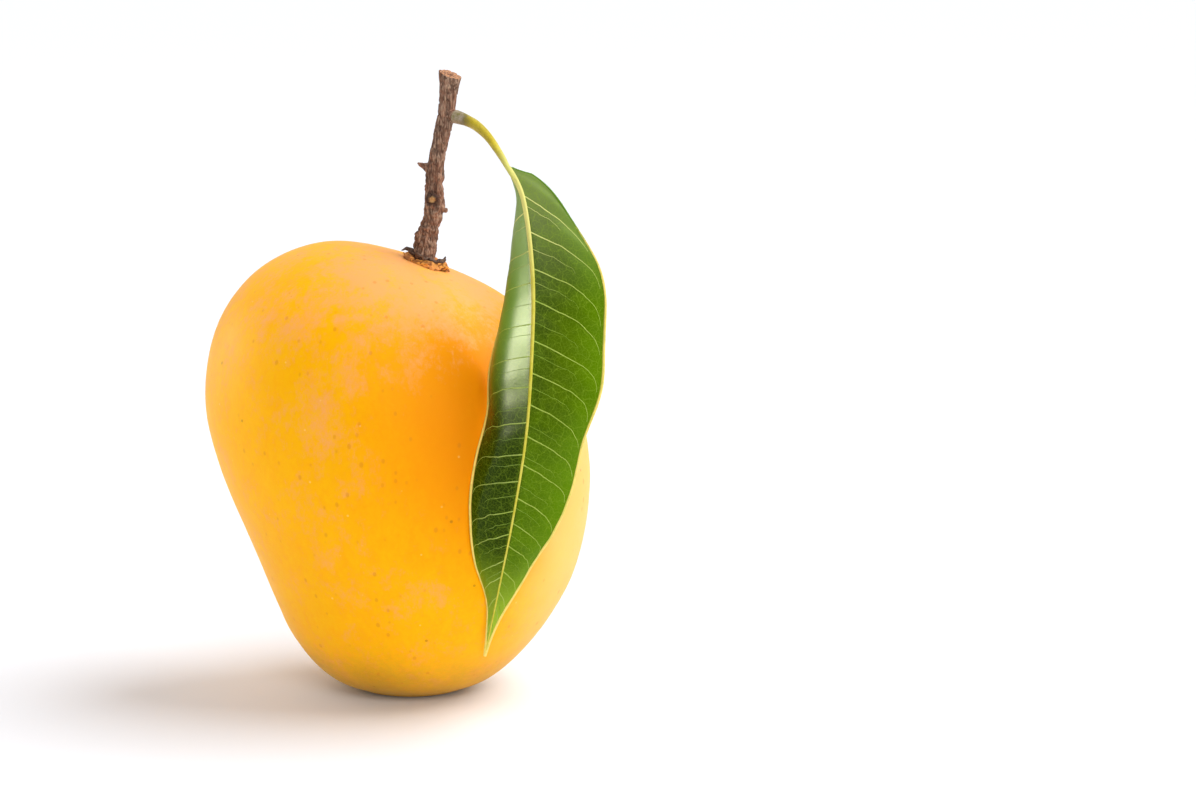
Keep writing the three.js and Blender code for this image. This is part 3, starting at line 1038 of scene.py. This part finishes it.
def shown(name, data):
    """A new object in the scene."""
    made = bpy.data.objects.new(name, data)
    bpy.context.scene.collection.objects.link(made)
    return made


def grown(name, source, tree, **values):
    """A source object run through a geometry tree and kept as a plain mesh."""
    maker = source.modifiers.new(name, "NODES")
    maker.node_group = tree
    for socket in tree.interface.items_tree:
        label = socket.name.replace(" ", "_").lower()
        if socket.in_out == "INPUT" and label in values:
            maker[socket.identifier] = values[label]
    graph = bpy.context.evaluated_depsgraph_get()
    mesh = bpy.data.meshes.new_from_object(source.evaluated_get(graph), depsgraph=graph)
    bpy.data.objects.remove(source)
    mesh.name = name
    return shown(name, mesh)


def solid_copy(node, quads=False):
    """A merged copy of a CAD node, with its triangles joined into quads where wanted."""
    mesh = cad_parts[node].data.copy()
    mesh.materials.clear()
    form = bmesh.new()
    form.from_mesh(mesh)
    bmesh.ops.remove_doubles(form, verts=form.verts, dist=1e-6)
    if quads:
        limits = {"angle_face_threshold": 0.6, "angle_shape_threshold": 0.9}
        bmesh.ops.join_triangles(form, faces=form.faces, **limits)
    form.to_mesh(mesh)
    form.free()
    return shown(node + "_copy", mesh)


def keep(piece, node=None):
    """A piece that moves with the body and may stand for a CAD node, whose own object is then hidden."""
    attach(piece, BODY)
    if node:
        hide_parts(node)


midrib = even_run(LEAF_MIDRIB)
wide_run = smooth_run(LEAF_HALF_WIDTHS)
left_drop = smooth_run(LEFT_DROP)
right_drop = smooth_run(RIGHT_DROP)
left_reach = smooth_run(LEFT_REACH)


def eased(value, low, high):
    """A smooth change from 0 to 1 while a value goes from low to high."""
    t = min(max((value - low) / (high - low), 0.0), 1.0)
    return t * t * (3 - 2 * t)


def bent_half(bend, start, end, steps=40):
    """The section of half a blade from 0 to 1, and its turn along it, both as runs over its width."""
    turns = [math.radians(bend) * eased(i / steps, start, end) for i in range(steps + 1)]
    stops = [0j]
    for turn in turns[1:]:
        stops.append(stops[-1] + cmath.rect(1.0, turn))
    span = stops[-1]
    back = cmath.phase(span)
    return smooth_run([stop / span for stop in stops]), smooth_run([turn - back for turn in turns])


left_half = bent_half(*LEFT_BEND)
sheen_half = bent_half(*SHEEN_BEND)
right_half = bent_half(*RIGHT_BEND)


def half_width(share):
    """The blade's half width in mm, drawn in to a point where the leaf stalk ends."""
    return wide_run(share) * min(1.0, LEAF_BASE_WIDTH + share / LEAF_BASE_SHARE)


def leaf_frame(share):
    """The directions to the right and to the front, square to the midrib."""
    ahead = midrib(min(share + LEAF_NEAR, 1.0)) - midrib(max(share - LEAF_NEAR, 0.0))
    upward = -ahead.normalized()
    right = (Vector((1, 0, 0)) - upward * upward.x).normalized()
    return right, right.cross(upward)


def vein_step(share, out, side):
    """How many vein spacings from the first vein a point lies, following the veins back to the midrib."""
    at_base, at_tip = LEFT_SWEEP if side < 0 else RIGHT_SWEEP
    run = 1 - max(0.0, 1 - out) ** (1 / VEINS["bend"])
    root = share - (at_base + (at_tip - at_base) * share) * out - VEIN_HOOK * (1 - share) * run**3
    part = min(1.0, (root - VEIN_FIRST) / (VEIN_LAST - VEIN_FIRST))
    crowding = VEINS["crowding"]
    spread = 1 + crowding
    step = (spread - math.sqrt(max(0.0, spread * spread - 4 * crowding * part))) / (2 * crowding)
    return step * VEINS["pairs"] - (0.5 if side < 0 else 0.0)


def quilt(share, out, side):
    """The swelling of the blade between its side veins, from -1 to 1."""
    return -math.cos(2 * math.pi * vein_step(share, out, side)) * math.sin(math.pi * min(1.0, out)) ** 0.5


def leaf_section(share, out, side):
    """The place of a point in the section of its half of the blade, and how far it turns back."""
    if side > 0:
        drop = math.radians(right_drop(share))
        spot, turn = (run(out) for run in right_half)
    else:
        drop = math.radians(left_drop(share))
        part = eased(share, *SHEEN_FADES[:2]) - eased(share, *SHEEN_FADES[2:])
        spot, turn = (a(out) * (1 - part) + b(out) * part for a, b in zip(left_half, sheen_half))
        further = left_reach(share) / half_width(share) * eased(out, REACH_FROM, 1.0)
        spot += cmath.rect(further, turn)
    return spot * cmath.rect(1.0, drop), drop + turn


def leaf_point(share, across, face):
    """A point of the blade in mm: on its upper face where face is 1, on its underside where it is -1."""
    right, front = leaf_frame(share)
    side = -1 if across < 0 else 1
    out = abs(across)
    wide = half_width(share)
    spot, turn = leaf_section(share, out, side)
    facing = turn * min(1.0, out * wide)
    height, phase = LEFT_WAVE if side < 0 else RIGHT_WAVE
    wave = height * out * out * math.sin(2 * math.pi * LEAF_WAVE_COUNT * share + phase)
    swell = (LEFT_QUILT if side < 0 else RIGHT_QUILT) * quilt(share, out, side)
    lift = face * LEAF_THICKNESS / 2 + (wave + swell) * min(1.0, wide / LEAF_WAVE_FROM)
    sideways = spot.real * wide + lift * math.sin(facing)
    forward = lift * math.cos(facing) - spot.imag * wide
    return midrib(share) + right * (side * sideways) + front * forward


def leaf_spots():
    """The blade's points: both faces, with the share along it and across it."""
    for face in (1, -1):
        for step in range(LEAF_STEPS + 1):
            for column in range(LEAF_COLUMNS + 1):
                yield step / LEAF_STEPS, 2 * column / LEAF_COLUMNS - 1, face


def leaf_faces():
    """The blade's quads on both faces and round the rim, each with its kind: 0 upper, 1 under, 2 rim."""
    wide = LEAF_COLUMNS + 1
    under = (LEAF_STEPS + 1) * wide
    for step in range(LEAF_STEPS):
        for column in range(LEAF_COLUMNS):
            a = step * wide + column
            yield (a, a + wide, a + wide + 1, a + 1), 0
            yield (under + a, under + a + 1, under + a + wide + 1, under + a + wide), 1
    last = LEAF_STEPS * wide
    rim = [step * wide for step in range(LEAF_STEPS + 1)]
    rim += [last + column for column in range(1, wide)]
    rim += [step * wide + wide - 1 for step in range(LEAF_STEPS - 1, -1, -1)]
    rim += list(range(wide - 2, 0, -1))
    for a, b in zip(rim, rim[1:] + rim[:1]):
        yield (a, under + a, under + b, b), 2


def leaf_mesh():
    """The blade as a closed sheet with its flat pattern and its places along and across as attributes."""
    spots = list(leaf_spots())
    quads = list(leaf_faces())
    mesh = bpy.data.meshes.new("leaf_blade_sheet")
    mesh.from_pydata([leaf_point(*spot) * MM for spot in spots], [], [corners for corners, _ in quads])
    mesh.polygons.foreach_set("material_index", [kind for _, kind in quads])
    mesh.polygons.foreach_set("use_smooth", [True] * len(quads))
    stops = [midrib(i / 50) for i in range(51)]
    length = sum((after - before).length for before, after in zip(stops, stops[1:]))
    tables = {"leaf_along": [s for s, _, _ in spots], "leaf_across": [a for _, a, _ in spots]}
    for name, values in tables.items():
        mesh.attributes.new(name, "FLOAT", "POINT").data.foreach_set("value", values)
    flat = [value for s, a, _ in spots for value in (s * length, a * half_width(s), 0.0)]
    mesh.attributes.new("leaf_flat", "FLOAT_VECTOR", "POINT").data.foreach_set("vector", flat)
    pattern = mesh.uv_layers.new(name="leaf_pattern").data
    for quad, (corners, kind) in zip(mesh.polygons, quads):
        for loop, corner in zip(quad.loop_indices, corners):
            share, across, _ = spots[corner]
            pattern[loop].uv = (share + PATTERN_SHIFT[kind], across / 2 + 0.5)
    return mesh


def make_fruit():
    """The fruit's skin over its solid."""
    solid = solid_copy("fruit", quads=True)
    skin = grown("fruit_skin", solid, skin_tree(), **SKIN, finish=skin_finish())
    keep(skin, "fruit")
    light_only(make_panel("left_panel", **LEFT_PANEL), skin)


def make_stalk(weathered):
    """The woody stalk with its bark."""
    finishes = {"finish": bark_finish(), "cut_finish": cut_wood_finish()}
    keep(grown("stalk_bark", solid_copy("stalk"), weathered, **BARK, **finishes), "stalk")


def make_collar(weathered):
    """The corky collar at the stalk's foot, set down onto the skin."""
    finishes = dict.fromkeys(("finish", "cut_finish"), cork_finish())
    collar = grown("stalk_collar_cork", solid_copy("stalk_collar"), weathered, **CORK, **finishes)
    keep(collar, "stalk_collar")


def make_scraps():
    """The dry sepal scraps between the collar and the stalk's foot."""
    centre = Vector(FOOT_PLACE)
    points = []
    for turn in SCRAPS:
        x = SCRAP_RING * math.cos(math.radians(turn))
        y = SCRAP_RING * math.sin(math.radians(turn))
        points.append((centre + Vector((x, y, -x * FOOT_FALL))) * MM)
    ring = bpy.data.meshes.new("scrap_ring")
    ring.from_pydata(points, [], [])
    sizes = ring.attributes.new("scrap_size", "FLOAT", "POINT").data
    sizes.foreach_set("value", list(SCRAPS.values()))
    source = shown("scrap_ring", ring)
    values = {"centre": tuple(centre * MM), "finish": dry_finish()}
    keep(grown("dry_sepals", source, scraps_tree(), **SCRAP, **values))


def make_leaf_stalk():
    """The leaf's own stalk, from inside its seat to inside the blade's midrib."""
    curve = bpy.data.curves.new("leaf_stalk_path", "CURVE")
    curve.dimensions = "3D"
    run = smooth_run(LEAF_STALK)
    spline = curve.splines.new("POLY")
    spline.points.add(LEAF_STALK_POINTS // 2 - 1)
    for i, point in enumerate(spline.points):
        x, y, z, radius = run(i / (len(spline.points) - 1))
        point.co = (x * MM, y * MM, z * MM, 1.0)
        point.radius = radius * MM
    path = shown("leaf_stalk_path", curve)
    bar = grown("leaf_stalk_bar", path, bar_tree(), points=LEAF_STALK_POINTS, finish=leaf_stalk_finish())
    keep(bar, "leaf_stalk")


def make_leaf():
    """The blade with its midrib, side veins and pale edge."""
    blade = shown("leaf_blade_sheet", leaf_mesh())
    rib = two_tone_finish("leaf_rib", "rib_yellow", "rib_yellow_light", 4.0)
    for finish in (leaf_upper_finish(), leaf_under_finish(), rib):
        blade.data.materials.append(finish)
    ribs = leaf_ribs(blade, rib)
    veins = leaf_veins(blade)
    keep(blade, "leaf_blade")
    for piece in ribs + veins:
        keep(piece)
    # The panel that shows only in the leaf's gloss, as the pale streak along its midrib
    light_only(make_panel("leaf_panel", **LEAF_PANEL), blade, *veins).visible_diffuse = False


def leaf_ribs(blade, finish):
    """The midrib on both faces and the thickened edges."""
    tree = leaf_line_tree()
    edge = edge_finish()
    ribs = []
    for name, start, end, root, tip in LEAF_LINES:
        values = {
            "start": (*start, 0.0),
            "end": (*end, 0.0),
            "root_radius": root * MM,
            "end_radius": tip * MM,
            "sunk_share": RIB_SUNK,
            "points": RIB_POINTS,
            "finish": edge if name.startswith("edge") else finish,
        }
        sheet = shown("leaf_pattern_copy", blade.data.copy())
        ribs.append(grown("leaf_" + name, sheet, tree, **values))
    return ribs


def leaf_veins(blade):
    """The side veins on both faces, and short fine ones between them."""
    tree = veins_tree()
    plain = two_tone_finish("leaf_vein", "vein_green", "vein_green_light", 3.0)
    fine = two_tone_finish("leaf_fine_vein", "fine_vein_green", "vein_green", 3.0)
    spacing = (VEIN_LAST - VEIN_FIRST) / VEINS["pairs"]
    veins = []
    for name, shift, offset, reach, root, tip, seed in LEAF_VEINS:
        values = {
            "first": VEIN_FIRST + spacing * offset,
            "last": VEIN_LAST + spacing * offset,
            "left_sweep": (*LEFT_SWEEP, 0.0),
            "right_sweep": (*RIGHT_SWEEP, 0.0),
            "hook": VEIN_HOOK * reach**3,
            "reach": reach,
            "root_radius": root * MM,
            "end_radius": tip * MM,
            "pattern_shift": shift,
            "seed": seed,
            "finish": fine if offset else plain,
        }
        sheet = shown("leaf_pattern_copy", blade.data.copy())
        veins.append(grown("leaf_" + name, sheet, tree, **VEINS, **values))
    return veins


# Stage


def make_floor():
    """A wide white floor."""
    bpy.ops.mesh.primitive_plane_add(size=FLOOR_SIZE, location=(0, 0, FLOOR_HEIGHT))
    floor = bpy.context.object
    floor.name = "floor"
    floor.data.materials.append(floor_finish())
    floor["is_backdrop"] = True


def make_panel(name, place_at, wide, tall, power):
    """A soft flat light that faces the fruit."""
    lamp = bpy.data.lights.new(name, "AREA")
    lamp.shape = "RECTANGLE"
    lamp.size = wide
    lamp.size_y = tall
    lamp.energy = power
    lit = shown(name, lamp)
    lit.location = place_at
    lit.rotation_euler = (Vector(LIGHT_AIM) - Vector(place_at)).to_track_quat("-Z", "Y").to_euler()
    return lit


def light_only(lit, *pieces):
    """A light that reaches some pieces alone."""
    reached = bpy.data.collections.new(lit.name + "_reaches")
    for piece in pieces:
        reached.objects.link(piece)
    lit.light_linking.receiver_collection = reached
    return lit


def make_sun(name, height, behind, softness, power):
    """A wide, far light from the right: its height and turn to behind in degrees, and how soft it is."""
    lamp = bpy.data.lights.new(name, "SUN")
    lamp.angle = math.radians(softness)
    lamp.energy = power
    lit = shown(name, lamp)
    lit.rotation_euler = (0, math.radians(90 - height), math.radians(behind))


def make_room():
    """Bright surroundings, dimmer in front."""
    world = bpy.data.worlds.new("studio")
    world.use_nodes = True
    tree = world.node_tree
    backdrop = tree.nodes["Background"]
    backdrop.inputs["Color"].default_value = (1.0, 1.0, 1.0, 1.0)
    depth = parts(place(tree, "ShaderNodeTexCoord").outputs["Generated"])[1]
    tree.links.new(fade(depth, -0.8, 0.3, ROOM_FRONT, ROOM_BEHIND), backdrop.inputs["Strength"])
    bpy.context.scene.world = world


def make_camera():
    """The camera at the photograph's place."""
    lens = bpy.data.cameras.new("photo_camera")
    lens.lens = CAMERA_LENS
    lens.sensor_width = SENSOR_WIDTH
    lens.sensor_fit = "HORIZONTAL"
    lens.clip_end = CAMERA_REACH
    camera = shown("photo_camera", lens)
    camera.location = CAMERA_PLACE
    camera.rotation_euler = (math.radians(90 - CAMERA_DOWN), 0, 0)
    bpy.context.scene.camera = camera


def make_stage():
    """Floor, soft lights, bright surroundings and the camera."""
    make_floor()
    make_room()
    make_sun("right_sun", **SUN)
    make_panel("front_panel", **FRONT_PANEL)
    make_camera()
    bpy.context.scene.view_settings.view_transform = "Standard"


def write_sizes():
    """The solids' box and the dressed part's box."""
    boxes = {"cad": CAD_BOX, "visual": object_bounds()}
    {name: [list(corner) for corner in box] for name, box in boxes.items()}


make_stage()
make_fruit()
weathered_wood = weathered_tree()
make_stalk(weathered_wood)
make_collar(weathered_wood)
make_scraps()
make_leaf_stalk()
make_leaf()
write_sizes()
